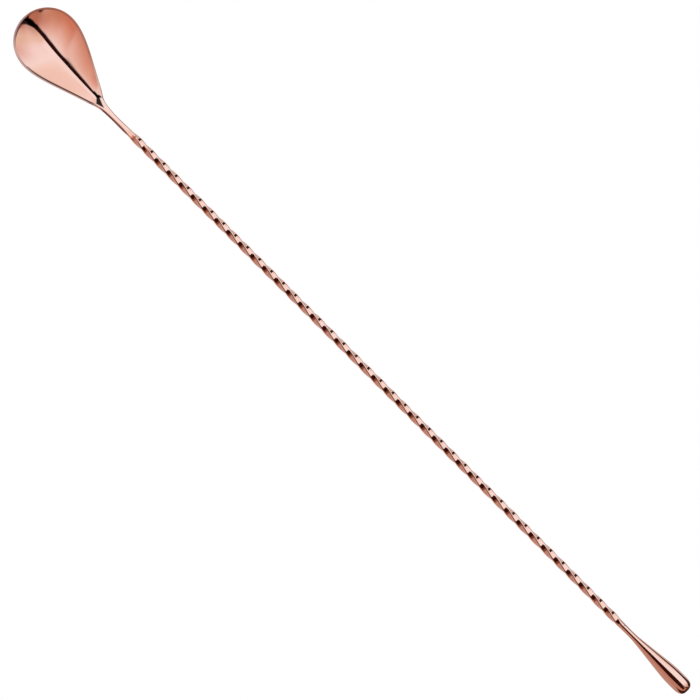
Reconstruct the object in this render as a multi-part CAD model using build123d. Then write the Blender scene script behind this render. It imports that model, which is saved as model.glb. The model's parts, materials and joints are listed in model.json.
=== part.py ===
from build123d import *
import math
import os

# Bar spoon, 400 mm long: a forged teardrop bowl with its neck, a twisted
# square shaft, a solid teardrop counterweight, and the two brazed joints that
# hold them together.
#
# Frame: +X runs along the shaft from the bowl to the counterweight, +Z is up
# out of the bowl, +Y completes the right-handed frame. The pieces are built
# about the shaft's axis, then tilted and raised together so that the spoon
# rests on z = 0. Before the tilt, X = 0, Y = 0 are the middle of its length
# and width.

# ---------------------------------------------------------------- dimensions
LENGTH = 400.0                 # overall, bowl tip to counterweight end
X_TIP = -LENGTH / 2            # bowl tip
X_END = LENGTH / 2             # counterweight end
X_NECK_BUTT = -130.9           # the neck meets the shaft here
X_TAIL_BUTT = 161.6            # the shaft meets the counterweight here

# shaft
SQUARE = 2.9                   # square wire, across flats
CORNER_R = 0.6                 # its corner radius
QUARTER_PITCH = 7.269          # shaft length for a quarter turn
TWIST_PHASE = 22.0             # angle of one corner from +Y at X_PHASE
X_PHASE = 15.26

# bowl wall
WALL_RIM = 0.53                # thickness at the rim
WALL_DEEPER = 0.24             # and how much it thickens per mm of depth
WALL_SOFT = 0.5                # how softly the thickening sets in at the rim
SLOPE_STEP = 0.05              # half step for measuring the surface's slope

# bowl section
KEEL_SOFT = 0.5                # how softly the section turns at its keel
KEEL_SHARE = 0.125             # and how much softer per mm of half width
FLARE = 0.08                   # share of the depth taken by the steeper rim
WIDEST = 14.80                 # widest half width inside

# bowl ends
TIP_SLOPE = 0.85               # slope of the wall at the tip
TIP_RIM_SLOPE = 0.04           # slope of the rim line carried on past the tip
END_AT = 47.6                  # the hollow's end starts to rise here, from the tip
END_SLOPE = 0.40               # and how steeply it runs out into the neck
END_SOFT = 0.5

# bowl construction
RIM_CLEAR = 1.6                # construction height above the rim
APEX_REACH = 6.0               # the tip's apex is sought this far before the first station
SECTION_STEPS = 8              # spline steps on each side of a section
SECTION_CROWDING = 1.4         # crowds the spline points towards the keel
CUTTER_SIDE = 30.0             # half width of the block that trims the rim
CUTTER_TOP = 30.0              # and its top, above the shaft's axis

# joints: X of the butt, direction out of the shaft, diameter and length of
# the spigot turned on the shaft's end
NECK_SPIGOT = (X_NECK_BUTT, -1, 1.2, 4.5)
TAIL_SPIGOT = (X_TAIL_BUTT, 1, 1.7, 12.0)
FILM = 0.1                     # braze filler around and beyond each spigot
OVERCUT = 1.0                  # cutting cylinders pass the butt by this much

# bowl, along its length: distance from the outside of the tip, half width
# inside at the rim, rim height above the shaft's axis, depth below the rim
BOWL = [
    (0.85, 0.00, 8.16, 0.00),
    (1.50, 3.82, 8.15, 0.55),
    (2.00, 5.46, 8.13, 0.96),
    (3.00, 7.66, 8.09, 1.71),
    (4.50, 9.88, 8.03, 2.70),
    (6.50, 11.88, 7.95, 3.76),
    (9.50, 13.71, 7.81, 5.05),
    (13.00, 14.69, 7.58, 6.03),
    (16.50, 14.79, 7.27, 6.45),
    (20.00, 14.22, 6.85, 6.35),
    (24.00, 12.98, 6.24, 5.95),
    (28.00, 11.35, 5.49, 5.28),
    (32.00, 9.52, 4.60, 4.43),
    (36.00, 7.59, 3.61, 3.46),
    (40.00, 5.68, 2.56, 2.43),
    (44.00, 3.82, 1.52, 1.40),
    (47.00, 2.47, 0.80, 0.76),
    (49.50, 1.42, 0.30, 0.28),
    (52.00, 0.62, -0.10, -0.10),
    (54.50, 0.20, -0.35, -0.42),
]
HALF_WIDTH, RIM_HEIGHT, DEPTH = 1, 2, 3   # columns of BOWL
TIP_INSIDE = BOWL[0][0]
NOSE = 2.6                     # nearer the tip the section stays the same and only rises
HEEL = 44.0                    # beyond it the section stays the same and only rises

# lofting stations and rim line stations, as distances from the tip
OUTER_STATIONS = [-0.7, 0.4, 2.0, 4.5, 8.0, 12.0, 16.5, 21.5,
                  26.5, 31.5, 36.5, 41.0, 45.0, 48.5, 51.0, 53.0]
INNER_STATIONS = [0.1, 1.5, 3.0, 5.5, 9.0, 12.5, 16.5, 21.5,
                  26.5, 31.5, 36.5, 41.0, 45.0, 47.5, 49.2, 50.6]
INNER_END = 54.0               # the hollow has run out before this
RIM_STATIONS = [-8.0, -2.0, 2.0, 8.0, 14.0, 20.0, 26.0, 32.0, 38.0, 44.0, 50.0, 56.0]

# neck, on the way to the shaft: X, centre height above the shaft's axis,
# width, height, corner radius
NECK = [
    (-154.0, 0.00, 4.60, 1.86, 0.50),
    (-150.5, -0.05, 3.20, 2.00, 0.58),
    (-146.5, -0.36, 2.62, 2.10, 0.66),
    (-142.5, -0.52, 2.50, 2.20, 0.75),
    (-139.5, -0.52, 2.52, 2.38, 0.80),
    (-137.5, -0.47, 2.55, 2.50, 0.78),
    (-135.5, -0.36, 2.62, 2.64, 0.74),
    (-133.2, -0.18, 2.76, 2.78, 0.66),
    (X_NECK_BUTT, 0.0, SQUARE, SQUARE, CORNER_R),
]
X_TWIST_START = -139.9         # the neck starts to twist here
NECK_TURN = 57.3               # how far it has turned where it meets the shaft

# counterweight, along its length: X, radius
TEARDROP = [
    (X_TAIL_BUTT, 1.44), (163.3, 1.40), (165.4, 1.40), (167.5, 1.47), (169.6, 1.63),
    (171.7, 1.85), (174.3, 2.13), (176.9, 2.35), (179.4, 2.61), (182.0, 2.88),
    (184.5, 3.15), (187.1, 3.40), (189.6, 3.63), (192.1, 3.78), (194.6, 3.83),
    (196.4, 3.76), (197.8, 3.50), (198.9, 2.95), (199.6, 2.05),
]


# ------------------------------------------------------------------- helpers
def interp(table, x, column):
    """Smooth (Catmull-Rom) interpolation of one column of a table."""
    last = len(table) - 2
    i = 0
    while i < last and x > table[i + 1][0]:
        i += 1
    x0, x1 = table[i][0], table[i + 1][0]
    y0, y1 = table[i][column], table[i + 1][column]
    span = x1 - x0
    slope0 = slope1 = (y1 - y0) / span
    if i > 0:
        slope0 = (y1 - table[i - 1][column]) / (x1 - table[i - 1][0])
    if i < last:
        slope1 = (table[i + 2][column] - y0) / (table[i + 2][0] - x0)
    t = (x - x0) / span
    return (
        (2 * t**3 - 3 * t**2 + 1) * y0
        + (t**3 - 2 * t**2 + t) * span * slope0
        + (-2 * t**3 + 3 * t**2) * y1
        + (t**3 - t**2) * span * slope1
    )


def bisect(low, high, still_low):
    """The place between low and high where still_low stops being true."""
    for _ in range(60):
        mid = (low + high) / 2
        if still_low(mid):
            low = mid
        else:
            high = mid
    return low


def soft_ramp(value, softness):
    """Zero below 0 and value above it, with the corner rounded off."""
    return (value + math.hypot(value, softness)) / 2


def across_x(x, z=0.0):
    """The plane square to X, with its local x along +Y."""
    return Plane(origin=(x, 0, z), x_dir=(0, 1, 0), z_dir=(1, 0, 0))


def spigot_cylinder(spigot, film=0.0, overcut=0.0):
    """A spigot, grown by film and carried past its butt by overcut."""
    butt, direction, diameter, depth = spigot
    start, end = sorted([butt - direction * overcut, butt + direction * (depth + film)])
    return Solid.make_cylinder(diameter / 2 + film, end - start, across_x(start))


# ------------------------------------------------------------- bowl surfaces
# "along" is the distance from the outside of the tip
SQUARED = [(row[0], row[HALF_WIDTH] ** 2) for row in BOWL]


def half_width_squared(along):
    return interp(SQUARED, min(max(along, NOSE), HEEL), 1)


def rim(along):
    """Rim height."""
    if along < TIP_INSIDE:
        return BOWL[0][RIM_HEIGHT] + (TIP_INSIDE - along) * TIP_RIM_SLOPE
    return interp(BOWL, along, RIM_HEIGHT)


def keel(along):
    """Height of the bowl's inside along its middle line."""
    if along < TIP_INSIDE:
        return rim(along) + TIP_SLOPE * (TIP_INSIDE - along)
    return rim(along) - interp(BOWL, along, DEPTH)


def crease(along):
    """How softly the inside turns at its keel."""
    return KEEL_SOFT + KEEL_SHARE * math.sqrt(half_width_squared(along))


def flank(along):
    """The two factors that say how fast the inside rises from its keel."""
    along = min(max(along, NOSE), HEEL)
    squared = half_width_squared(along)
    depth = interp(BOWL, along, DEPTH)
    share = FLARE * squared / WIDEST**2
    soft = depth * (1 - share) / (math.sqrt(1 + squared / crease(along) ** 2) - 1)
    return soft, share * depth / squared**2


def forged(along, y):
    """The bowl's inside before its end is rounded up into the neck."""
    soft, steep = flank(along)
    return keel(along) + soft * (math.sqrt(1 + (y / crease(along)) ** 2) - 1) + steep * y**4


def inside(along, y):
    return forged(along, y) + END_SLOPE * soft_ramp(along - END_AT, END_SOFT)


def outside(along, y):
    """The inside lowered by the wall, which is measured square to the surface."""
    step = SLOPE_STEP
    z = forged(along, y)
    slope_x = (forged(along + step, y) - forged(along - step, y)) / (2 * step)
    slope_y = (forged(along, y + step) - forged(along, y - step)) / (2 * step)
    wall = WALL_RIM + WALL_DEEPER * soft_ramp(rim(along) - z, WALL_SOFT)
    return z - wall * math.sqrt(1 + slope_x**2 + slope_y**2)


# ---------------------------------------------------------------------- bowl
def section(surface, along):
    """A closed wire across the bowl: the surface below, a flat line above."""
    top = rim(along) + RIM_CLEAR
    half = bisect(0.0, 40.0, lambda y: surface(along, y) < top)
    points = []
    for j in range(-SECTION_STEPS, SECTION_STEPS + 1):
        y = math.copysign(half * abs(j / SECTION_STEPS) ** SECTION_CROWDING, j)
        points.append(Vector(X_TIP + along, y, surface(along, y)))
    return Wire([Edge.make_spline(points), Edge.make_line(points[-1], points[0])])


def apex(surface, beyond, within):
    """Where the surface's middle line meets the construction height.

    The surface is above that height at beyond, and below it at within.
    """
    along = bisect(beyond, within, lambda a: surface(a, 0.0) > rim(a) + RIM_CLEAR)
    return Vertex(X_TIP + along, 0, rim(along) + RIM_CLEAR)


def make_body(surface, stations, end=None):
    """Loft from the tip's apex through the stations, and to an apex before end if given."""
    profiles = [apex(surface, stations[0] - APEX_REACH, stations[0])]
    profiles += [section(surface, along) for along in stations]
    if end is not None:
        profiles.append(apex(surface, end, stations[-1]))
    return Solid.make_loft(profiles)


def make_above_rim():
    """The block above the rim's arched side profile."""
    rim_points = [Vector(X_TIP + along, -CUTTER_SIDE, rim(along)) for along in RIM_STATIONS]
    first, last = rim_points[0], rim_points[-1]
    corners = [
        last,
        Vector(last.X, -CUTTER_SIDE, CUTTER_TOP),
        Vector(first.X, -CUTTER_SIDE, CUTTER_TOP),
        first,
    ]
    sides = [Edge.make_line(start, end) for start, end in zip(corners, corners[1:])]
    outline = Wire([Edge.make_spline(rim_points)] + sides)
    return Solid.extrude(Face(outline), (0, 2 * CUTTER_SIDE, 0))


def neck_wire(x, z, width, height, radius):
    face = RectangleRounded(width, height, radius).face()
    twist_share = max(0.0, (x - X_TWIST_START) / (X_NECK_BUTT - X_TWIST_START))
    face = face.rotate(Axis.Z, NECK_TURN * twist_share**2)
    return across_x(x, z).from_local_coords(face).outer_wire()


def make_bowl():
    outer = make_body(outside, OUTER_STATIONS)
    inner = make_body(inside, INNER_STATIONS, INNER_END)
    neck = Solid.make_loft([neck_wire(*row) for row in NECK])
    # the hollow is cut last, so that it runs out into the neck
    bowl = (outer - make_above_rim()) + neck - inner
    return bowl - spigot_cylinder(NECK_SPIGOT, FILM, OVERCUT)


# -------------------------------------------------------------- other pieces
def make_shaft():
    """A rounded square turned as it is drawn along X, with a spigot at each end."""
    length = X_TAIL_BUTT - X_NECK_BUTT
    turn = 90.0 * length / QUARTER_PITCH
    corner = TWIST_PHASE + 90.0 * (X_NECK_BUTT - X_PHASE) / QUARTER_PITCH
    face = RectangleRounded(SQUARE, SQUARE, CORNER_R).face().rotate(Axis.Z, corner + 45.0)
    twisted = Solid.extrude_linear_with_rotation(face, (0, 0, 0), (0, 0, length), turn)
    twisted = across_x(X_NECK_BUTT).from_local_coords(twisted)
    return twisted + spigot_cylinder(NECK_SPIGOT) + spigot_cylinder(TAIL_SPIGOT)


def make_counterweight():
    """A teardrop turned about the shaft's axis, bored for its spigot."""
    curve = Edge.make_spline(
        [Vector(x, radius, 0) for x, radius in TEARDROP] + [Vector(X_END, 0, 0)],
        tangents=[Vector(1, 0, 0), Vector(0, -1, 0)],
    )
    axis_line = Edge.make_line((X_END, 0, 0), (X_TAIL_BUTT, 0, 0))
    butt_line = Edge.make_line((X_TAIL_BUTT, 0, 0), (X_TAIL_BUTT, TEARDROP[0][1], 0))
    profile = Face(Wire([curve, axis_line, butt_line]))
    return Solid.revolve(profile, 360, Axis.X) - spigot_cylinder(TAIL_SPIGOT, FILM, OVERCUT)


def make_braze(spigot):
    """Filler: a thin cup around the spigot, filling its socket."""
    return spigot_cylinder(spigot, film=FILM) - spigot_cylinder(spigot, overcut=OVERCUT)


pieces = {
    "bowl": make_bowl(),
    "twisted_shaft": make_shaft(),
    "counterweight": make_counterweight(),
    "neck_braze_joint": make_braze(NECK_SPIGOT),
    "tail_braze_joint": make_braze(TAIL_SPIGOT),
}

# ------------------------------------------------------- lay it down on z = 0
# it touches under the bowl and under the counterweight's widest place, so its
# shaft slopes a little
x_rest, rest_radius = max(TEARDROP, key=lambda row: row[1])
keel_stations = [tenth / 10 for tenth in range(100, 530, 2)]
slope = min(
    (outside(along, 0.0) + rest_radius) / (x_rest - (X_TIP + along)) for along in keel_stations
)
tilt = -math.degrees(math.atan(slope))
laid = {name: Rot(0, tilt, 0) * piece for name, piece in pieces.items()}
rest = -min(piece.bounding_box().min.Z for piece in laid.values())

os.makedirs("parts", exist_ok=True)
for name, piece in laid.items():
    export_step(Pos(0, 0, rest) * piece, os.path.join("parts", name + ".step"))
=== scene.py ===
# A copper-plated spoon, 400 mm long, with a twisted square shaft and a teardrop counterweight.
# Its own frame is in millimetres: X runs along the shaft from the bowl's tip to the
# counterweight's end, Z is up and the shaft's axis is at z = 0. Then it is laid on the floor
# (z = 0), resting on its bowl and its counterweight, in metres.
import bpy, bmesh, json, math
import numpy as np
from mathutils import Vector, Matrix

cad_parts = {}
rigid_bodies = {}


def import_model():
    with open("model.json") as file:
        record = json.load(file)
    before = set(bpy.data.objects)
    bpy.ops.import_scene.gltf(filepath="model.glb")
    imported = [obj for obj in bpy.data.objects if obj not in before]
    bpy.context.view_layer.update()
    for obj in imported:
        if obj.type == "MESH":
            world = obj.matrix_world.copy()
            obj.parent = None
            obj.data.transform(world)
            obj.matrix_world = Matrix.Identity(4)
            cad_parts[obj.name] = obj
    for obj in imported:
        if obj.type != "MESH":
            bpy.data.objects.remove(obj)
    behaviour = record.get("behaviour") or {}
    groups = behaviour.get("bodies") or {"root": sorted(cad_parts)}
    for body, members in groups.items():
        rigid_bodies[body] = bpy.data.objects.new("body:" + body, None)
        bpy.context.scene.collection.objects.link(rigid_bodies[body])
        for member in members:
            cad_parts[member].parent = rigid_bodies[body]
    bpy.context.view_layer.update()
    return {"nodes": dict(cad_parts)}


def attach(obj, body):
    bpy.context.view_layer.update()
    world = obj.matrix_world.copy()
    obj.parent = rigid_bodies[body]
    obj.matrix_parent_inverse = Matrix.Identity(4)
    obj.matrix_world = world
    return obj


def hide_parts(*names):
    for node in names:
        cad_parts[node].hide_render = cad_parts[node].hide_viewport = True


for stray in list(bpy.data.objects):
    bpy.data.objects.remove(stray, do_unlink=True)
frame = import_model()

# ------------------------------------------------------------------ dimensions
MM = 0.001
X_TIP, X_END = -200.0, 200.0
X_NECK, X_TAIL = -130.9, 161.6      # the twisted shaft's two ends
SQUARE, CORNER_R = 2.9, 0.6         # the shaft's section
TILT = math.radians(-0.3336)        # turn about Y that lays the spoon down
LIFT = 2.698
VIEW_ROLL = math.radians(22.0)      # how far the view is rolled about the spoon's length

# spigots on the shaft's ends, and the gap round them in their sockets
NECK_D, NECK_L, TAIL_D, TAIL_L, FILM = 1.2, 4.5, 1.7, 12.0, 0.1


def ramp(value, start, end):
    """0 up to start, 1 from end on, eased between."""
    t = np.clip((value - start) / (end - start), 0, 1)
    return t * t * t * (t * (6 * t - 15) + 10)


def turned(points, angle):
    """Points (y, z) turned about the axis."""
    c, s = math.cos(angle), math.sin(angle)
    return points @ np.array([[c, -s], [s, c]]).T


# --------------------------------------------------------------- mesh building
def to_world(points):
    """Lays the spoon down and turns millimetres into metres."""
    c, s = math.cos(TILT), math.sin(TILT)
    x, y, z = points.T
    return np.stack([x * c + z * s, y, -x * s + z * c + LIFT], 1) * MM


class Shell:
    """Gathers rows of points, with their rim_shade, and the faces between them."""

    def __init__(self):
        self.verts, self.faces, self.shades, self.count = [], [], [], 0

    def add(self, points, shades=None):
        start = self.count
        self.verts.append(points)
        self.shades.append(np.zeros((len(points), 3)) if shades is None else shades)
        self.count += len(points)
        return list(range(start, self.count))

    def strip(self, one, two, closed=True):
        count = len(one)
        for i in range(count if closed else count - 1):
            j = (i + 1) % count
            self.faces.append((one[i], one[j], two[j], two[i]))

    def loft(self, rows, closed=True):
        for one, two in zip(rows, rows[1:]):
            self.strip(one, two, closed)

    def plug(self, edge, radius, x, reach):
        """Closes an end at x with a round spigot or blind socket that runs on by reach."""
        points = np.concatenate(self.verts)[edge]
        angles = np.arctan2(points[:, 2], points[:, 1])
        rings = [edge]
        for place in (x, x + reach):
            rings.append(self.add(circle(angles, radius, place)))
        self.loft(rings)
        self.fan(rings[-1], (x + reach, 0, 0))

    def fan(self, ring, centre):
        middle = self.add(np.array([centre]))[0]
        for i in range(len(ring)):
            self.faces.append((ring[i], ring[(i + 1) % len(ring)], middle))

    def make(self, name):
        mesh = bpy.data.meshes.new(name)
        verts = to_world(np.concatenate(self.verts))
        mesh.from_pydata([tuple(v) for v in verts], [], self.faces)
        mesh.validate()
        layer = mesh.attributes.new("rim_shade", "FLOAT_COLOR", "POINT")
        for k, shade in enumerate(np.concatenate(self.shades)):
            layer.data[k].color = (*shade, 1.0)
        work = bmesh.new()
        work.from_mesh(mesh)
        bmesh.ops.remove_doubles(work, verts=work.verts, dist=1e-8)
        bmesh.ops.recalc_face_normals(work, faces=work.faces)
        work.to_mesh(mesh)
        work.free()
        for face in mesh.polygons:
            face.use_smooth = True
        obj = bpy.data.objects.new(name, mesh)
        bpy.context.scene.collection.objects.link(obj)
        return obj


def circle(angles, radius, x):
    return np.stack([np.full(len(angles), x), radius * np.cos(angles), radius * np.sin(angles)], 1)


# ---------------------------------------------------------------- bowl surfaces
# distance from the tip, height of the rim, depth of the inside's keel below the rim
BOWL = np.array([
    (0.85, 8.16, 0.00), (1.50, 8.15, 0.55), (2.00, 8.13, 0.96), (3.00, 8.09, 1.71),
    (4.50, 8.03, 2.70), (6.50, 7.95, 3.76), (9.50, 7.81, 5.05), (13.00, 7.58, 6.03),
    (16.50, 7.27, 6.45), (20.00, 6.85, 6.35), (24.00, 6.24, 5.95), (28.00, 5.49, 5.28),
    (32.00, 4.60, 4.43), (36.00, 3.61, 3.46), (40.00, 2.56, 2.43), (44.00, 1.52, 1.40),
    (47.00, 0.80, 0.76), (49.50, 0.30, 0.28), (52.00, -0.10, -0.10), (54.50, -0.35, -0.42)])
# distance from the tip, half width over the rim
OUTLINE = np.array([
    (0.0, 0.00), (1.0, 5.78), (1.5, 7.01), (2.0, 8.03), (3.0, 9.65), (4.5, 11.47), (6.5, 13.20),
    (9.5, 14.84), (13.0, 15.75), (16.5, 15.85), (20.0, 15.30), (24.0, 14.10), (28.0, 12.50),
    (32.0, 10.68), (36.0, 8.76), (40.0, 6.84), (44.0, 4.97), (47.0, 3.62), (49.5, 2.55),
    (52.0, 1.70), (54.5, 1.35)])
# distance from the tip, half width of the hollow
INSIDE = np.array([
    (1.05, 0.00), (1.50, 3.82), (2.00, 5.46), (3.00, 7.66), (4.50, 9.88), (6.50, 11.88),
    (9.50, 13.71), (13.00, 14.69), (16.50, 14.79), (20.00, 14.22), (24.00, 12.98),
    (28.00, 11.35), (32.00, 9.52), (36.00, 7.59), (40.00, 5.68), (44.00, 3.82),
    (47.00, 2.47), (49.50, 1.42), (52.00, 0.62)])
KEEL_SOFT, KEEL_SHARE = 0.5, 0.125       # how gently the keel is creased: least, share of width
FLARE, WIDEST = 0.08, 14.80              # share of the depth that rises steeply near the rim
NOSE, HEEL = 2.6, 44.0                   # the section's shape stays the same beyond these
WALL_RIM, WALL_DEEPER = 0.53, 0.24       # wall at the rim, and its gain per mm of depth
END_AT, END_SLOPE, END_SOFT = 47.6, 0.40, 0.5    # where the hollow's narrow end rises
LAND = 1.05                              # rim width in plan
HOLLOW_INSET, UNDER_INSET = LAND + 0.14, 0.30    # edges of the inside and the underside
WIDEST_AT = 16.5                         # rows run round the tip up to here

fit = np.polynomial.Polynomial.fit


def tip_heavy(table, first):
    """Fit weights that hold on to the table's first point."""
    weights = np.ones(len(table))
    weights[0] = first
    return weights


def width_fit(table):
    """Fits the square of a half width, which stays smooth round the tip."""
    weights = tip_heavy(table, 5) / np.maximum(table[:, 1], 1.0)
    return fit(table[:, 0], table[:, 1] ** 2, 9, w=weights)


rim_fit = fit(BOWL[:, 0], BOWL[:, 1], 6)
depth_fit = fit(BOWL[:, 0], BOWL[:, 2], 9, w=tip_heavy(BOWL, 6))
outline_fit, inside_fit = width_fit(OUTLINE), width_fit(INSIDE)


# the surfaces below give a height from the distance from the tip (along) and y
def rim(along, y):
    return rim_fit(along)


def forged(along, y):
    """The hollow as a creased keel with rising flanks."""
    within = np.clip(along, NOSE, HEEL)
    width_squared = inside_fit(within)
    depth = depth_fit(within)
    crease = KEEL_SOFT + KEEL_SHARE * np.sqrt(width_squared)
    share = FLARE * width_squared / WIDEST ** 2
    soft = depth * (1 - share) / (np.sqrt(1 + width_squared / crease ** 2) - 1)
    steep = share * depth / width_squared ** 2
    keel = rim_fit(along) - depth_fit(along)
    return keel + soft * (np.sqrt(1 + (y / crease) ** 2) - 1) + steep * y ** 4


def inside(along, y):
    past = (along - END_AT) / END_SOFT
    z = forged(along, y)
    rise = END_SLOPE * END_SOFT * (past + np.sqrt(past * past + 1)) / 2
    return z + np.minimum(rise, np.maximum(rim_fit(along) - z, 0.0))


def outside(along, y):
    """The underside: the wall is measured square to the forged surface."""
    step = 0.02
    z = forged(along, y)
    slope_x = (forged(along + step, y) - forged(along - step, y)) / (2 * step)
    slope_y = (forged(along, y + step) - forged(along, y - step)) / (2 * step)
    below = rim_fit(along) - z
    wall = WALL_RIM + WALL_DEEPER * (below + np.hypot(below, 0.5)) / 2
    return z - wall * np.sqrt(1 + slope_x ** 2 + slope_y ** 2)


def half_width(inset):
    """Half width, by distance from the tip, of the outline drawn in by inset."""
    along = OUTLINE[-1, 0] * (1 - np.cos(np.linspace(0, math.pi / 2, 1600)))
    at_tip = outline_fit(0.0) * np.clip(1 - along / 3, 0, 1)
    width = np.sqrt(np.maximum(outline_fit(along) - at_tip, 0))
    step_x, step_y = np.gradient(along), np.gradient(width)
    length = np.hypot(step_x, step_y)
    new_along, new_width = along + inset * step_y / length, width - inset * step_x / length
    new_along[0], new_width[0] = inset, 0.0
    kept = new_width >= 0
    new_along, new_width = new_along[kept], new_width[kept]
    order = np.argsort(new_along)
    new_along, new_width = new_along[order], new_width[order]
    return lambda at: np.sqrt(np.maximum(np.interp(at, new_along, new_width ** 2), 0.0))


WIDTHS = {inset: half_width(inset) for inset in (0.0, UNDER_INSET, LAND, HOLLOW_INSET)}


def plan(column, row, inset):
    """Distance from the tip and y for columns in -1..1 of one row.

    A row >= 0 is a distance from the tip; a row < 0 runs round the tip, -1 being its edge."""
    width = WIDTHS[inset]
    if row >= 0:
        return np.full_like(column, row), column * width(row)
    length = WIDEST_AT - inset
    disc_x = -row * np.sqrt(1 - column ** 2 / 2)
    disc_y = column * np.sqrt(1 - row ** 2 / 2)
    along = WIDEST_AT - length * disc_x
    safe = np.maximum(along, inset + 0.02)
    safe_x = (WIDEST_AT - safe) / length
    return along, disc_y * (width(safe) / np.sqrt(np.maximum(1 - safe_x ** 2, 1e-12)))


# ------------------------------------------------------------ bowl and neck rows
# A row is four runs of x, y, z points: its top, its +Y side, its bottom, its -Y side.
COLS, SIDE = 97, 14
EVEN = np.linspace(-1, 1, COLS)
COLUMNS = np.sin(EVEN * math.pi / 2) * 0.35 + EVEN * 0.65

# X, height of the middle, width, height, corner radius
NECK = np.array([
    (-154.0, 0.00, 5.70, 1.86, 0.50), (-150.5, -0.05, 3.90, 2.00, 0.58),
    (-146.5, -0.36, 2.80, 2.10, 0.66), (-142.5, -0.52, 2.50, 2.20, 0.75),
    (-139.5, -0.52, 2.52, 2.38, 0.80), (-137.5, -0.47, 2.55, 2.50, 0.78),
    (-135.5, -0.36, 2.62, 2.64, 0.74), (-133.2, -0.18, 2.76, 2.78, 0.66),
    (-130.9, 0.00, 2.90, 2.90, 0.60)])
neck_fits = [fit(NECK[:, 0], NECK[:, i], 6) for i in (1, 2, 3, 4)]
BLEND_START, BLEND_END = 43.0, 54.0     # the bowl becomes the neck, as distances from the tip
BOWL_ROWS_END = 56.0

# The twist: length of a quarter turn, and a place X_PHASE where the phase is PHASE degrees.
QUARTER, PHASE, X_PHASE = 7.269, 22.0, 15.26
# It isn't quite even: X, and how far the pattern there has slipped along the shaft
DRIFT = np.array([
    (-130.9, 1.27), (-104.0, 1.27), (-96.6, 1.16), (-89.4, 1.00), (-82.2, 0.74), (-75.0, 0.55),
    (-67.8, 0.44), (-48.4, 0.20), (-27.2, -0.13), (-6.0, -0.13), (15.1, 0.24), (36.3, 0.29),
    (57.5, 0.0), (78.6, -0.28), (95.5, -0.33), (102.7, -0.27), (109.9, -0.10), (117.1, 0.15),
    (124.3, 0.34), (131.5, 0.52), (138.7, 0.76), (145.9, 0.98), (161.6, 1.20)])


def drift(x):
    return float(np.mean([np.interp(x + d, DRIFT[:, 0], DRIFT[:, 1]) for d in (-6, -3, 0, 3, 6)]))


# the neck starts to turn at X_TWIST and meets the shaft's own turn
X_TWIST, NECK_TURN = -139.9, math.radians(57.3 - 90.0 * drift(X_NECK) / QUARTER)


def rounded(width, height, radius, turn):
    """The four runs, as (y, z), of a rounded rectangle turned about its middle."""
    flat_y, flat_z = width / 2 - radius, height / 2 - radius
    top = np.stack([COLUMNS * flat_y, np.full(COLS, height / 2)], 1)
    corner = 0.38       # share of a side's points that go to each corner
    side = []
    for i in range(1, SIDE + 1):
        t = i / (SIDE + 1)
        if corner < t < 1 - corner:
            side.append((width / 2, flat_z * (1 - 2 * (t - corner) / (1 - 2 * corner))))
        else:
            angle = min(t, 1 - t) / corner * math.pi / 2
            z = flat_z + radius * math.cos(angle)
            side.append((flat_y + radius * math.sin(angle), z if t < 0.5 else -z))
    side = np.array(side)
    return [turned(run, turn) for run in
            (top, side, top * np.array([1, -1]), side * np.array([-1, 1]))]


def neck_row(x):
    if x > X_NECK - 1e-6:
        z, width, height, radius = 0.0, SQUARE, SQUARE, CORNER_R
    else:
        z, width, height, radius = [curve(x) for curve in neck_fits]
        radius = min(radius, width / 2 - 0.02, height / 2 - 0.02)
    turn = 0.0 if x < X_TWIST else NECK_TURN * ((x - X_TWIST) / (X_NECK - X_TWIST)) ** 2
    return [np.stack([np.full(len(run), x), run[:, 0], run[:, 1] + z], 1)
            for run in rounded(width, height, radius, turn)]


def surface_points(columns, row, inset, surface):
    along, y = plan(columns, row, inset)
    return np.stack([X_TIP + along, y, surface(along, y)], 1)


def bend(start, pull, end, t):
    return (1 - t) ** 2 * start + 2 * t * (1 - t) * pull + t * t * end


def rim_section(column, row):
    """From the inside's edge, over the rounded rim, to the underside's edge."""
    in_edge, in_rim, out_rim, out_edge = [
        surface_points(np.array([column]), row, inset, surface)[0] for inset, surface in
        ((HOLLOW_INSET, inside), (LAND, rim), (0.0, rim), (UNDER_INSET, outside))]
    crest = in_rim + (out_rim - in_rim) * 0.10
    inner = 3
    outer = SIDE - inner
    points = [bend(in_edge, in_rim, crest, i / inner) for i in range(1, inner + 1)]
    points += [bend(crest, out_rim, out_edge, i / (outer + 1)) for i in range(1, outer + 1)]
    return np.array(points)


def bowl_row(row):
    top = surface_points(COLUMNS, row, HOLLOW_INSET, inside)
    bottom = surface_points(COLUMNS, row, UNDER_INSET, outside)
    return top, rim_section(1.0, row), bottom, rim_section(-1.0, row)


def row_points(kind, place):
    if kind == "neck":
        return neck_row(place)
    if kind == "tip" or place <= BLEND_START:
        return bowl_row(place)
    neck = neck_row(X_TIP + place)
    if place >= BLEND_END:
        return neck
    k = ramp(place, BLEND_START, BLEND_END)
    return [one * (1 - k) + two * k for one, two in zip(bowl_row(place), neck)]


def row_places():
    """Every row from the tip to the neck's end, as its kind and its place."""
    round_tip = -np.sin(np.linspace(math.pi / 2, 0, 34, endpoint=False))
    straight = np.concatenate([np.linspace(WIDEST_AT, 44.8, 58), np.linspace(45.0, 51.0, 41),
                               np.linspace(51.3, BOWL_ROWS_END, 12)])
    neck = np.linspace(X_TIP + BOWL_ROWS_END, X_NECK, 46)[1:]
    return [(kind, float(place)) for kind, places in
            (("tip", round_tip), ("bowl", straight), ("neck", neck)) for place in places]


# ----------------------------------------------------------- bowl and neck painted shade
# rim_shade is painted shade: how much of each colour the plate loses at a point, standing in for
# the dark reflections the metal shows
# UPPER and BAND are painted shade on the rim, not wear
UPPER = np.array([0.53, 0.72, 0.77])     # on the rim's +Y side
BAND = np.array([0.34, 0.40, 0.38])      # on the rest of the rim
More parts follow.
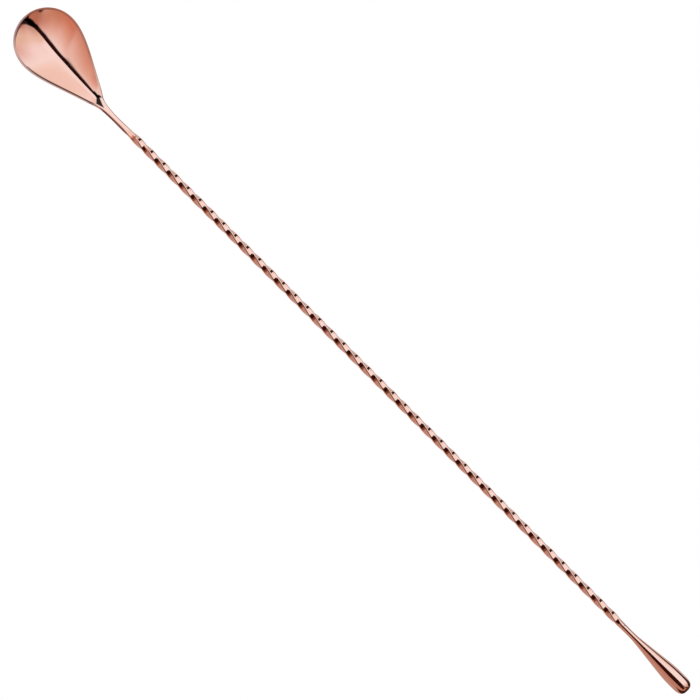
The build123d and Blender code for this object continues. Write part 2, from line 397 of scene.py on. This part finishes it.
# painted shade on the -Y side of the neck, a dark line, by place down the side
UNDER_LINE = (np.interp(np.arange(SIDE), [0.5, 2.5], [0, 1])[:, None]
              * np.array([0.84, 0.93, 0.95]))
SIDE_LINE = np.array([1.0, 1.0, 1.0, 0.7, 0.2] + [0.0] * (SIDE - 5))
TIP_LINE = np.array([1.0, 1.0, 0.7, 0.15] + [0.0] * (SIDE - 4))


def rim_shades(points, weights):
    """Painted shade on the rim, standing in for its dark reflections; weights is 1 on the dark
    line painted inside it.
    """
    along, y = points[:, 0] - X_TIP, points[:, 1]

    def by_length(places, values):
        return np.interp(along, places, values)[:, None]

    plus_side = np.clip((y - 0.3) / 2.4, 0, 1)[:, None]
    upper = UPPER * by_length([0, 6, 30, 38, 46, 50], [1.15, 1.1, 1.0, 0.5, 0.12, 0.0])
    band = BAND * by_length([0, 3, 8, 46, 50], [1.7, 1.5, 1, 1, 0])
    line = by_length([0, 4, 8, 14, 20, 28, 46, 49],
                     [0.93, 0.80, 0.34, 0.58, 0.88, 0.97, 0.97, 0.0]) * np.ones(3)
    weight = np.asarray(weights)[:, None]
    upper = np.maximum(upper, weight * by_length([0, 5, 9, 14], [0.90, 0.82, 0.5, 0.0]))
    lower = band * (1 - weight) + np.maximum(line, band) * weight
    return upper * plus_side + lower * (1 - plus_side)


def tip_shades(points):
    """Painted shade along the steep wall inside the tip, thickest beside the keel line: it stands
    in for a dark reflection.
    """
    along, y = points[:, 0] - X_TIP, points[:, 1]
    edge = np.interp(np.abs(y), [0.0, 3.82, 5.46, 7.66, 9.88, 11.88, 13.71],
                     [1.05, 1.5, 2.0, 3.0, 4.5, 6.5, 9.5])
    inward = (along - edge) * np.interp(np.abs(y), [0, 5, 9, 12], [1.0, 0.94, 0.84, 0.70])
    wide = np.interp(
        y, [-12.8, -11.0, -9.2, -7.8, -5.0, -3.4, -2.3, -1.0, 0.4, 1.3, 2.2, 2.6, 3.6],
        [0.0, 0.25, 0.45, 0.65, 0.75, 0.8, 1.1, 2.2, 4.2, 4.8, 5.6, 6.8, 6.8])
    shade = np.clip((wide - inward) / 0.55, 0, 1)
    shade = shade * np.interp(y, [-12.8, -11.0, 4.0, 4.6], [0, 1, 1, 0])
    # its +Y end is rounded: across the rolled view it stays under this line
    across = y * math.cos(VIEW_ROLL) + points[:, 2] * math.sin(VIEW_ROLL)
    under = np.interp(along, [0.9, 1.35, 1.65, 2.4, 3.7, 5.3, 7.5, 9.0],
                      [2.7, 3.45, 4.05, 4.65, 4.85, 4.65, 4.35, 4.2])
    shade = shade * np.clip((under - across) / 0.22, 0, 1)
    return (0.96 * shade)[:, None] * np.ones(3)


def end_shades(points):
    """Painted shade in the narrow end of the hollow, standing in for a dark reflection there."""
    along, y = points[:, 0] - X_TIP, points[:, 1]
    places = [42.5, 44.0, 45.8, 46.6, 47.5, 49.2, 51.4]
    middle = np.interp(along, places, [1.5, 1.38, 1.0, 0.45, -0.35, -0.5, -0.5])
    wide = np.interp(along, places, [0.55, 0.58, 0.72, 1.10, 1.45, 0.75, 0.0])
    across = np.clip((wide - np.abs(y - middle)) / 0.20, 0, 1)
    start = np.clip((along - 42.6) / 0.8, 0, 1)
    return (0.97 * across * start)[:, None] * np.ones(3)


def row_shades(kind, place, top, plus, minus):
    """Painted shades of a row's top, +Y side and -Y side."""
    top_shade = np.zeros((COLS, 3))
    if kind == "neck":
        fade = np.interp(place, [-144.0, -141.5, -138.5, -137.0, -134.6, -133.2],
                         [1, 0.85, 0.85, 0.95, 0.95, 0])
        return top_shade, None, UNDER_LINE * fade
    edge = rim_shades(top[[0, -1]], [1.0, 1.0])
    top_shade[0], top_shade[-1] = edge[0], edge[1] * 0.5
    plus_shade, minus_shade = rim_shades(plus, SIDE_LINE), rim_shades(minus, SIDE_LINE)
    if kind == "tip":
        return np.maximum(top_shade, tip_shades(top)), plus_shade, minus_shade
    for column, share in ((1, 0.95), (2, 0.65), (3, 0.25)):
        top_shade[column] = edge[0] * share
    under = UNDER_LINE * np.interp(place, [49.0, 52.0], [0, 1])
    return np.maximum(top_shade, end_shades(top)), plus_shade, np.maximum(minus_shade, under)


# --------------------------------------------------------------- bowl and neck
def build_bowl():
    shell = Shell()
    tops, pluses, bottoms, minuses = [], [], [], []
    for kind, place in row_places():
        top, plus, bottom, minus = row_points(kind, place)
        top_shade, plus_shade, minus_shade = row_shades(kind, place, top, plus, minus)
        tops.append(shell.add(top, top_shade))
        bottoms.append(shell.add(bottom))
        pluses.append(shell.add(plus, plus_shade))
        minuses.append(shell.add(minus, minus_shade))
    plus_runs, minus_runs = [
        [[top[at]] + side + [bottom[at]] for top, side, bottom in zip(tops, sides, bottoms)]
        for sides, at in ((pluses, -1), (minuses, 0))]
    for i in range(len(tops) - 1):
        for runs in (tops, bottoms, plus_runs, minus_runs):
            shell.strip(runs[i], runs[i + 1], closed=False)

    # the rim's round part at the very tip joins the top row to the bottom row
    tip_columns = [minus_runs[0]]
    for j in range(1, COLS - 1):
        section = rim_section(COLUMNS[j], -1.0)
        side = shell.add(section, rim_shades(section, TIP_LINE))
        tip_columns.append([tops[0][j]] + side + [bottoms[0][j]])
        fade = np.interp(COLUMNS[j], [0.75, 0.93], [1, 0.4])
        shell.shades[0][j] = rim_shades(section[:1], [1.0])[0] * fade
    tip_columns.append(plus_runs[0])
    shell.loft(tip_columns, closed=False)

    # the neck's end, with the blind socket for the shaft's spigot
    end = tops[-1] + pluses[-1] + bottoms[-1][::-1] + minuses[-1][::-1]
    shell.plug(end, NECK_D / 2 + FILM, X_NECK, -NECK_L - FILM)
    return shell.make("bowl_and_neck")


# --------------------------------------------------------------- twisted shaft
SIDE_POINTS, CORNER_POINTS = 18, 10     # points to a quarter of the section, and in its corner
SHAFT_STEP = 0.25
STEM_R, STEM_BLEND = 1.44, 5.0          # the tail end turns round over this length


def square_ring(x, turn, size, radius):
    half = size / 2
    flat = half - radius
    quarter = []
    for i in range(CORNER_POINTS):
        angle = i / CORNER_POINTS * math.pi / 2
        quarter.append((flat + radius * math.cos(angle), flat + radius * math.sin(angle)))
    flat_points = SIDE_POINTS - CORNER_POINTS
    quarter += [(flat * (1 - 2 * i / flat_points), half) for i in range(flat_points)]
    quarter = np.array(quarter)
    points = np.concatenate([turned(quarter, turn + k * math.pi / 2) for k in range(4)])
    return np.column_stack([np.full(len(points), x), points])


def build_shaft():
    shell = Shell()
    rings = []
    for x in np.linspace(X_NECK, X_TAIL, round((X_TAIL - X_NECK) / SHAFT_STEP) + 1):
        k = ramp(x, X_TAIL - STEM_BLEND, X_TAIL)
        size = SQUARE * (1 - k) + 2 * STEM_R * k
        radius = CORNER_R * (1 - k) + (STEM_R - 0.001) * k
        turn = math.radians(PHASE - 45.0 + 90.0 * (x - drift(x) - X_PHASE) / QUARTER)
        rings.append(shell.add(square_ring(x, turn, size, radius)))
    shell.loft(rings)
    shell.plug(rings[0], NECK_D / 2, X_NECK, -NECK_L)
    shell.plug(rings[-1], TAIL_D / 2, X_TAIL, TAIL_L)
    return shell.make("shaft_twisted")


# --------------------------------------------------------------- counterweight
X_DOME = 194.6                          # the rounded end starts here
SLIM_R, DOME_R = 1.40, 3.83
WAIST, WAIST_END = 0.04, 164.6          # extra radius at the start, and where it has faded
SWELL_START, SWELL_FULL, SWELL_FADE = 163.5, 173.5, 184.0
DOME_POWER = 2.8
WEIGHT_POINTS = 96


def weight_stations():
    """X and radius along the teardrop."""
    fine = np.linspace(X_TAIL, X_DOME, 3301)
    slope = ramp(fine, SWELL_START, SWELL_FULL) * (1 - ramp(fine, SWELL_FADE, X_DOME))
    swell = np.concatenate([[0], np.cumsum((slope[1:] + slope[:-1]) / 2 * np.diff(fine))])
    waist = WAIST * (1 - ramp(fine, X_TAIL, WAIST_END))
    radius = SLIM_R + swell * (DOME_R - SLIM_R) / swell[-1] + waist
    stations = [(x, float(np.interp(x, fine, radius))) for x in np.linspace(X_TAIL, X_DOME, 150)]
    power = 2.0 / DOME_POWER
    for angle in np.linspace(0, math.pi / 2, 70)[1:-1]:
        stations.append((X_DOME + (X_END - X_DOME) * math.sin(angle) ** power,
                         DOME_R * math.cos(angle) ** power))
    return stations


def build_weight():
    shell = Shell()
    angles = np.linspace(0, 2 * math.pi, WEIGHT_POINTS, endpoint=False)
    rings = [shell.add(circle(angles, radius, x)) for x, radius in weight_stations()]
    shell.loft(rings)
    shell.fan(rings[-1], (X_END, 0, 0))
    shell.plug(rings[0], TAIL_D / 2 + FILM, X_TAIL, TAIL_L + FILM)
    return shell.make("teardrop_weight")


bowl, shaft, weight = build_bowl(), build_shaft(), build_weight()
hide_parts("bowl")
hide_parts("twisted_shaft")
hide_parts("counterweight")
for piece in (bowl, shaft, weight):
    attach(piece, "root")


# ------------------------------------------------------------------- materials
class Nodes:
    """Adds nodes to an emptied tree and links them."""

    def __init__(self, tree):
        self.tree = tree
        tree.nodes.clear()

    def put(self, socket, value):
        if isinstance(value, bpy.types.NodeSocket):
            self.tree.links.new(value, socket)
        else:
            socket.default_value = value

    def add(self, kind, inputs=(), **settings):
        node = self.tree.nodes.new(kind)
        for key, value in settings.items():
            setattr(node, key, value)
        for key, value in dict(inputs).items():
            self.put(node.inputs[key], value)
        return node

    def math(self, operation, *values):
        return self.add("ShaderNodeMath", enumerate(values), operation=operation).outputs[0]

    def span(self, value, low, high, easing="LINEAR"):
        """0 at low, 1 at high."""
        inputs = {"Value": value, "From Min": low, "From Max": high}
        return self.add("ShaderNodeMapRange", inputs, interpolation_type=easing).outputs[0]

    def step(self, value, low, high):
        return self.span(value, low, high, "SMOOTHERSTEP")

    def mix(self, factor, first, second, blend="MIX"):
        inputs = {0: factor, 6: first, 7: second}
        return self.add("ShaderNodeMix", inputs, data_type="RGBA", blend_type=blend).outputs[2]

    def noise(self, vector, scale, detail, rough=0.5):
        inputs = {"Vector": vector, "Scale": scale, "Detail": detail, "Roughness": rough}
        return self.add("ShaderNodeTexNoise", inputs).outputs[0]

    def stretched(self, vector, scale):
        return self.add("ShaderNodeMapping", {"Vector": vector, "Scale": scale}).outputs[0]

    def emission(self, colour):
        return self.add("ShaderNodeEmission", {"Color": colour, "Strength": 1.0}).outputs[0]

    def curve(self, value, points):
        """A smooth curve through the points (value, result)."""
        low, high = points[0][0], points[-1][0]
        results = [result for _, result in points]
        least, most = min(results), max(results)
        node = self.add("ShaderNodeFloatCurve", {"Value": self.span(value, low, high)})
        line = node.mapping.curves[0]
        wanted = [((at - low) / (high - low), (result - least) / (most - least))
                  for at, result in points]
        line.points[0].location = wanted[0]
        line.points[-1].location = wanted[-1]
        for place in wanted[1:-1]:
            line.points.new(*place)
        for point in line.points:
            point.handle_type = "AUTO_CLAMPED"
        node.mapping.update()
        return self.math("ADD", self.math("MULTIPLY", node.outputs[0], most - least), least)

    def colours(self, value, stops):
        """A colour ramp through the stops (value, red, green, blue)."""
        low, high = stops[0][0], stops[-1][0]
        node = self.add("ShaderNodeValToRGB", {0: self.span(value, low, high)})
        elements = node.color_ramp.elements
        while len(elements) > 1:
            elements.remove(elements[-1])
        for k, (at, *colour) in enumerate(stops):
            place = (at - low) / (high - low)
            element = elements[0] if k == 0 else elements.new(place)
            element.position = place
            element.color = (*colour, 1)
        return node.outputs[0]


def new_material(name):
    material = bpy.data.materials.new(name)
    material.use_nodes = True
    return material, Nodes(material.node_tree)


def set_surface(net, output_kind, shader):
    net.add(output_kind, {"Surface": shader})


def metal(name, colour, deeper, worn, rough, rough_more, line_depth, grain_depth):
    """Plated or soldered metal: tone and roughness that wander, lengthwise polishing lines, fine
    grain, handled edges, and painted shade taken from the rim_shade attribute. Depths are in
    metres."""
    material, net = new_material(name)
    place = net.add("ShaderNodeTexCoord").outputs["Object"]
    tone = net.noise(place, scale=55.0, detail=3.0)
    smudge = net.step(net.noise(place, scale=130.0, detail=4.0, rough=0.6), low=0.52, high=0.70)
    drawn = net.noise(net.stretched(place, scale=(260.0, 5200.0, 5200.0)),
                      scale=1.0, detail=3.0, rough=0.6)
    scratch = net.noise(net.stretched(place, scale=(420.0, 7600.0, 2600.0)),
                        scale=1.0, detail=2.0, rough=0.7)
    scratch = net.step(scratch, low=0.66, high=0.74)
    fine = net.noise(place, scale=9000.0, detail=2.0)
    pointed = net.add("ShaderNodeNewGeometry").outputs["Pointiness"]
    patches = net.step(net.noise(place, scale=210.0, detail=3.0), low=0.42, high=0.62)
    handled = net.math("MULTIPLY", net.step(pointed, low=0.53, high=0.62), patches)

    worn_share, scratch_rough, scratch_depth = 0.55, 1.4, 1.2   # strengths of the layers
    base = net.mix(net.step(tone, low=0.35, high=0.65), colour, deeper)
    base = net.mix(net.math("MULTIPLY", handled, worn_share), base, worn)
    # painted shade: the rim_shade attribute darkens the base colour where dark reflections are
    # painted
    painted_shade = net.add("ShaderNodeAttribute", attribute_name="rim_shade").outputs["Color"]
    keep = net.mix(1.0, (1, 1, 1, 1), painted_shade, blend="SUBTRACT")
    base = net.mix(1.0, base, keep, blend="MULTIPLY")

    roughness = net.math("ADD", net.math("MULTIPLY", smudge, rough_more), rough)
    for layer, amount in ((net.math("SUBTRACT", drawn, 0.5), rough_more),
                          (scratch, rough_more * scratch_rough), (handled, rough_more)):
        roughness = net.math("ADD", roughness, net.math("MULTIPLY", layer, amount))

    height = net.math("MULTIPLY", drawn, line_depth)
    cut = net.math("MULTIPLY", scratch, line_depth * scratch_depth)
    height = net.math("SUBTRACT", height, cut)
    height = net.math("ADD", height, net.math("MULTIPLY", fine, grain_depth))
    bump = net.add("ShaderNodeBump", {"Strength": 1.0, "Distance": 1.0, "Height": height})
    shader = net.add("ShaderNodeBsdfPrincipled", {
        "Base Color": base, "Metallic": 1.0,
        "Roughness": net.math("MAXIMUM", roughness, 0.02), "Normal": bump.outputs[0]})
    set_surface(net, "ShaderNodeOutputMaterial", shader.outputs[0])
    return material


def coat(obj, material):
    obj.data.materials.clear()
    obj.data.materials.append(material)


plate = metal("copper_plate_polished", colour=(0.930, 0.635, 0.545, 1),
              deeper=(0.915, 0.605, 0.505, 1), worn=(0.930, 0.700, 0.620, 1),
              rough=0.045, rough_more=0.035, line_depth=1.6e-8, grain_depth=4.0e-9)
for piece in (bowl, shaft, weight):
    coat(piece, plate)

braze = metal("braze_filler_satin", colour=(0.80, 0.72, 0.50, 1),
              deeper=(0.72, 0.62, 0.40, 1), worn=(0.84, 0.78, 0.60, 1),
              rough=0.30, rough_more=0.12, line_depth=4.0e-7, grain_depth=6.0e-7)
for joint in ("neck_braze_joint", "tail_braze_joint"):
    coat(frame["nodes"][joint], braze)


# ----------------------------------------------------------------------- stage
def sheet(name, corners):
    """A flat stage sheet from its four corners, in metres."""
    mesh = bpy.data.meshes.new(name)
    mesh.from_pydata(corners, [], [(0, 1, 2, 3)])
    obj = bpy.data.objects.new(name, mesh)
    bpy.context.scene.collection.objects.link(obj)
    return obj


def build_floor():
    """White to the camera, clear from below, and tinted where the metal mirrors it."""
    floor = sheet("floor", [(-3, -3, 0), (3, -3, 0), (3, 3, 0), (-3, 3, 0)])
    material, net = new_material("floor_pale")
    geometry = net.add("ShaderNodeNewGeometry").outputs
    where = net.add("ShaderNodeSeparateXYZ", {0: geometry["Position"]}).outputs
    camera_ray = net.add("ShaderNodeLightPath").outputs["Is Camera Ray"]
    minus_tint, plus_tint = (0.55, 0.35, 0.29, 1), (0.66, 0.60, 0.58, 1)    # by side in Y
    beyond_tint = (0.05, 0.015, 0.010, 1)                # past the counterweight's end
    tint = net.mix(net.step(where[1], low=-0.009, high=0.004), minus_tint, plus_tint)
    tint = net.mix(net.step(where[0], low=0.1995, high=0.2015), tint, beyond_tint)
    clear = net.add("ShaderNodeBsdfTransparent").outputs[0]
    from_below = net.math("MULTIPLY", camera_ray, geometry["Backfacing"])
    shader = net.add("ShaderNodeMixShader", {
        0: camera_ray, 1: net.emission(tint), 2: net.emission((1, 1, 1, 1))}).outputs[0]
    shader = net.add("ShaderNodeMixShader", {0: from_below, 1: shader, 2: clear}).outputs[0]
    set_surface(net, "ShaderNodeOutputMaterial", shader)
    floor.data.materials.append(material)


# Long cards beside the shaft that only its mirror finish sees: name, colour, the two angles
# they span in degrees from straight up towards -Y, distance from the axis, first and last X.
CARDS = (
    ("flag_above", (0.035, 0.006, 0.004, 1), 19.0, 54.0, 40.0, -133.0, 245.0),
    ("flag_low", (0.050, 0.016, 0.009, 1), -82.0, -54.0, 30.0, -151.5, 235.0),
    ("flag_brown", (0.22, 0.085, 0.050, 1), 54.0, 76.0, 40.0, -133.0, 156.0),
    ("card_heel", (0.93, 0.84, 0.82, 1), 4.0, 27.0, 25.0, -157.0, -146.0),
    ("card_heel_edge", (0.84, 0.62, 0.57, 1), 27.0, 42.0, 25.0, -162.0, -146.0),
    ("card_neck", (0.97, 0.93, 0.92, 1), 4.0, 36.0, 25.0, -146.0, -133.0),
    ("card_neck_edge", (0.84, 0.62, 0.56, 1), 36.0, 45.0, 25.0, -146.0, -133.0))


def build_card(name, colour, low, high, away, x_first, x_last):
    corners = []
    for degrees, x in ((low, x_first), (high, x_first), (high, x_last), (low, x_last)):
        angle, middle = math.radians(degrees), math.radians((low + high) / 2)
        reach = away / math.cos(angle - middle)
        corners.append((x * MM, -reach * math.sin(angle) * MM,
                        (LIFT + reach * math.cos(angle)) * MM))
    card = sheet(name, corners)
    material, net = new_material(name)
    set_surface(net, "ShaderNodeOutputMaterial", net.emission(colour))
    card.data.materials.append(material)
    card.visible_camera = False
    card.visible_diffuse = False
    card.visible_shadow = False
    card.visible_transmission = False


build_floor()
for card in CARDS:
    build_card(*card)

# ---------------------------------------------------------------------- camera
SHAFT_ANGLE = math.radians(45.0136)      # the shaft runs down to the right at this angle
VIEW_WIDTH = 296.26495                   # across the view at the shaft
FOCUS_RIGHT, FOCUS_DOWN = 1.393848, 2.778698    # the shaft's X = 0 from the view's centre
LENS, SENSOR = 400.0, 36.0


def laid(direction):
    """A direction in the spoon's own frame, once the spoon is laid down."""
    return Matrix.Rotation(TILT, 3, "Y") @ Vector(direction)


def build_camera(scene):
    data = bpy.data.cameras.new("camera")
    camera = bpy.data.objects.new("camera", data)
    scene.collection.objects.link(camera)
    scene.camera = camera
    data.lens = LENS
    data.sensor_width = SENSOR
    data.clip_end = 100.0
    back = laid((0, -math.sin(VIEW_ROLL), math.cos(VIEW_ROLL)))
    shaft_way = laid((1, 0, 0))
    side_way = laid((0, -math.cos(VIEW_ROLL), -math.sin(VIEW_ROLL)))    # to the lower left
    right = shaft_way * math.cos(SHAFT_ANGLE) - side_way * math.sin(SHAFT_ANGLE)
    up = -(shaft_way * math.sin(SHAFT_ANGLE) + side_way * math.cos(SHAFT_ANGLE))
    distance = VIEW_WIDTH * LENS / SENSOR
    place = Vector((0.0, 0.0, LIFT)) - right * FOCUS_RIGHT + up * FOCUS_DOWN + back * distance
    turn = Matrix((right, up, back)).transposed()
    camera.matrix_world = Matrix.Translation(place * MM) @ turn.to_4x4()


scene = bpy.context.scene
scene.view_settings.view_transform = "Standard"
build_camera(scene)

# -------------------------------------------------------------- studio light
# Angles in degrees: "along" leans towards the counterweight (+X), "across" is from straight
# up towards -Y. A narrow black band overhead leans further over towards the bowl's tip:
# along, across at its middle, its half width.
BLACK_BAND = (
    (-90, 18.5, 9.5), (-30, 18.5, 9.5), (-12, 18.5, 9.5), (-5, 18.0, 9.2), (-3, 16.0, 7.4),
    (-1, 14.7, 6.3), (2, 14.4, 6.0), (7, 14.2, 5.8), (12, 14.0, 5.6), (20, 13.2, 5.2),
    (28, 12.2, 5.0), (37, 9.2, 5.2), (45, 4.6, 6.2), (50, 0.0, 8.0), (54, -9.0, 11.5),
    (57, -20.0, 19.0), (60, -32.5, 27.5), (64, -44.0, 31.0), (72, -52.0, 24.0),
    (90, -52.0, 24.0))
# sky on the band's -Y side, from small to large "along": degrees past the band, colour
HIGH_HEEL = (
    (0.0, 0.90, 0.79, 0.78), (3.0, 0.87, 0.68, 0.63), (6.0, 0.80, 0.54, 0.47),
    (9.0, 0.73, 0.42, 0.33), (12.0, 0.66, 0.34, 0.26), (20.0, 0.60, 0.30, 0.23),
    (30.0, 0.55, 0.28, 0.21), (55.0, 0.52, 0.29, 0.23), (90.0, 0.55, 0.40, 0.36))
HIGH_NEAR = (
    (0.0, 0.95, 0.95, 1.0), (3.5, 0.95, 0.90, 0.95), (6.0, 0.92, 0.80, 0.78),
    (8.0, 0.87, 0.66, 0.62), (10.0, 0.79, 0.51, 0.43), (12.5, 0.73, 0.39, 0.29),
    (15.5, 0.68, 0.28, 0.20), (30.0, 0.55, 0.28, 0.20), (55.0, 0.52, 0.29, 0.23),
    (90.0, 0.55, 0.40, 0.36))
HIGH_MID = (
    (0.0, 0.92, 0.86, 0.95), (3.4, 0.90, 0.77, 0.74), (6.0, 0.85, 0.62, 0.57),
    (7.5, 0.76, 0.49, 0.42), (9.5, 0.68, 0.37, 0.27), (12.0, 0.63, 0.29, 0.19),
    (15.0, 0.60, 0.25, 0.17), (90.0, 0.55, 0.35, 0.30))
HIGH_TIP = (
    (0.0, 0.80, 0.62, 0.58), (2.8, 0.76, 0.50, 0.44), (4.5, 0.68, 0.38, 0.30),
    (6.2, 0.59, 0.29, 0.19), (9.0, 0.53, 0.235, 0.135), (14.0, 0.49, 0.21, 0.13),
    (90.0, 0.48, 0.25, 0.19))
# sky on its +Y side, two factors: by "across" and by "along"
LOW_ACROSS = (
    (-110.0, 0.55, 0.42, 0.36), (-90.0, 0.62, 0.50, 0.44), (-80.0, 0.72, 0.52, 0.44),
    (-76.0, 0.78, 0.57, 0.49), (-74.0, 0.82, 0.64, 0.57), (-72.0, 0.88, 0.77, 0.72),
    (-70.0, 0.95, 0.91, 0.89), (-68.0, 1.0, 1.0, 1.0), (20.0, 1.0, 1.0, 1.0))
LOW_ALONG = (
    (-90.0, 0.90, 0.80, 0.76), (-10.0, 0.93, 0.83, 0.78), (-4.0, 0.97, 0.88, 0.85),
    (-2.0, 1.0, 0.96, 0.97), (1.0, 1.02, 1.06, 1.12), (16.0, 1.0, 0.98, 1.06),
    (24.0, 0.95, 0.86, 0.86), (28.0, 0.89, 0.78, 0.70), (35.0, 0.86, 0.71, 0.63),
    (41.0, 0.79, 0.60, 0.53), (47.0, 0.67, 0.48, 0.43), (55.0, 0.60, 0.42, 0.36),
    (90.0, 0.60, 0.40, 0.32))
HIGH_FAR = (0.50, 0.23, 0.16, 1)
LOW_OVERHEAD = (1.03, 1.06, 1.12, 1)
BAND_BLACK, END_BLACK = (0.02, 0.004, 0.003, 1), (0.03, 0.008, 0.006, 1)
WHITE = (1, 1, 1, 1)


def build_world(scene):
    world = bpy.data.worlds.new("studio")
    scene.world = world
    world.use_nodes = True
    net = Nodes(world.node_tree)
    way = net.add("ShaderNodeTexCoord").outputs["Generated"]
    x, y, z = net.add("ShaderNodeSeparateXYZ", {0: way}).outputs
    degrees = 180 / math.pi
    along = net.math("MULTIPLY", net.math("ARCSINE", x), degrees)
    across = net.math("ARCTAN2", net.math("MULTIPLY", y, -1.0), z)
    across = net.math("MULTIPLY", across, degrees)

    middle = net.curve(along, [(at, centre) for at, centre, _ in BLACK_BAND])
    beside = net.math("SUBTRACT", across, middle)
    half = net.curve(along, [(at, width) for at, _, width in BLACK_BAND])
    past = net.math("SUBTRACT", net.math("ABSOLUTE", beside), half)
    dark = net.math("MULTIPLY", net.math("SUBTRACT", 1.0, net.step(past, low=-1.2, high=1.6)),
                    net.step(along, low=-16.0, high=-10.0))

    beyond = net.math("SUBTRACT", beside, half)
    high = net.colours(beyond, HIGH_HEEL)
    for stops, start, end in ((HIGH_NEAR, -8.0, 3.0), (HIGH_MID, 0.0, 30.0),
                              (HIGH_TIP, 12.0, 50.0)):
        high = net.mix(net.step(along, start, end), high, net.colours(beyond, stops))
    high = net.mix(net.step(along, low=34.0, high=58.0), high, HIGH_FAR)

    low = net.mix(net.step(along, low=-4.0, high=26.0), WHITE, net.colours(across, LOW_ACROSS))
    low = net.mix(1.0, low, net.colours(along, LOW_ALONG), blend="MULTIPLY")
    overhead = net.mix(net.step(along, low=12.0, high=30.0), LOW_OVERHEAD, low)
    low = net.mix(net.step(across, low=-50.0, high=-20.0), low, overhead)

    sky = net.mix(net.step(beside, low=-1.0, high=1.0), low, high)
    sky = net.mix(dark, sky, BAND_BLACK)
    ends = net.math("ADD", net.math("SUBTRACT", 1.0, net.step(along, low=-48.0, high=-38.0)),
                    net.step(along, low=75.0, high=80.0))
    sky = net.mix(ends, sky, END_BLACK)
    sky = net.mix(net.add("ShaderNodeLightPath").outputs["Is Camera Ray"], sky, WHITE)
    light = net.add("ShaderNodeBackground", {"Color": sky, "Strength": 1.0})
    set_surface(net, "ShaderNodeOutputWorld", light.outputs[0])


build_world(scene)
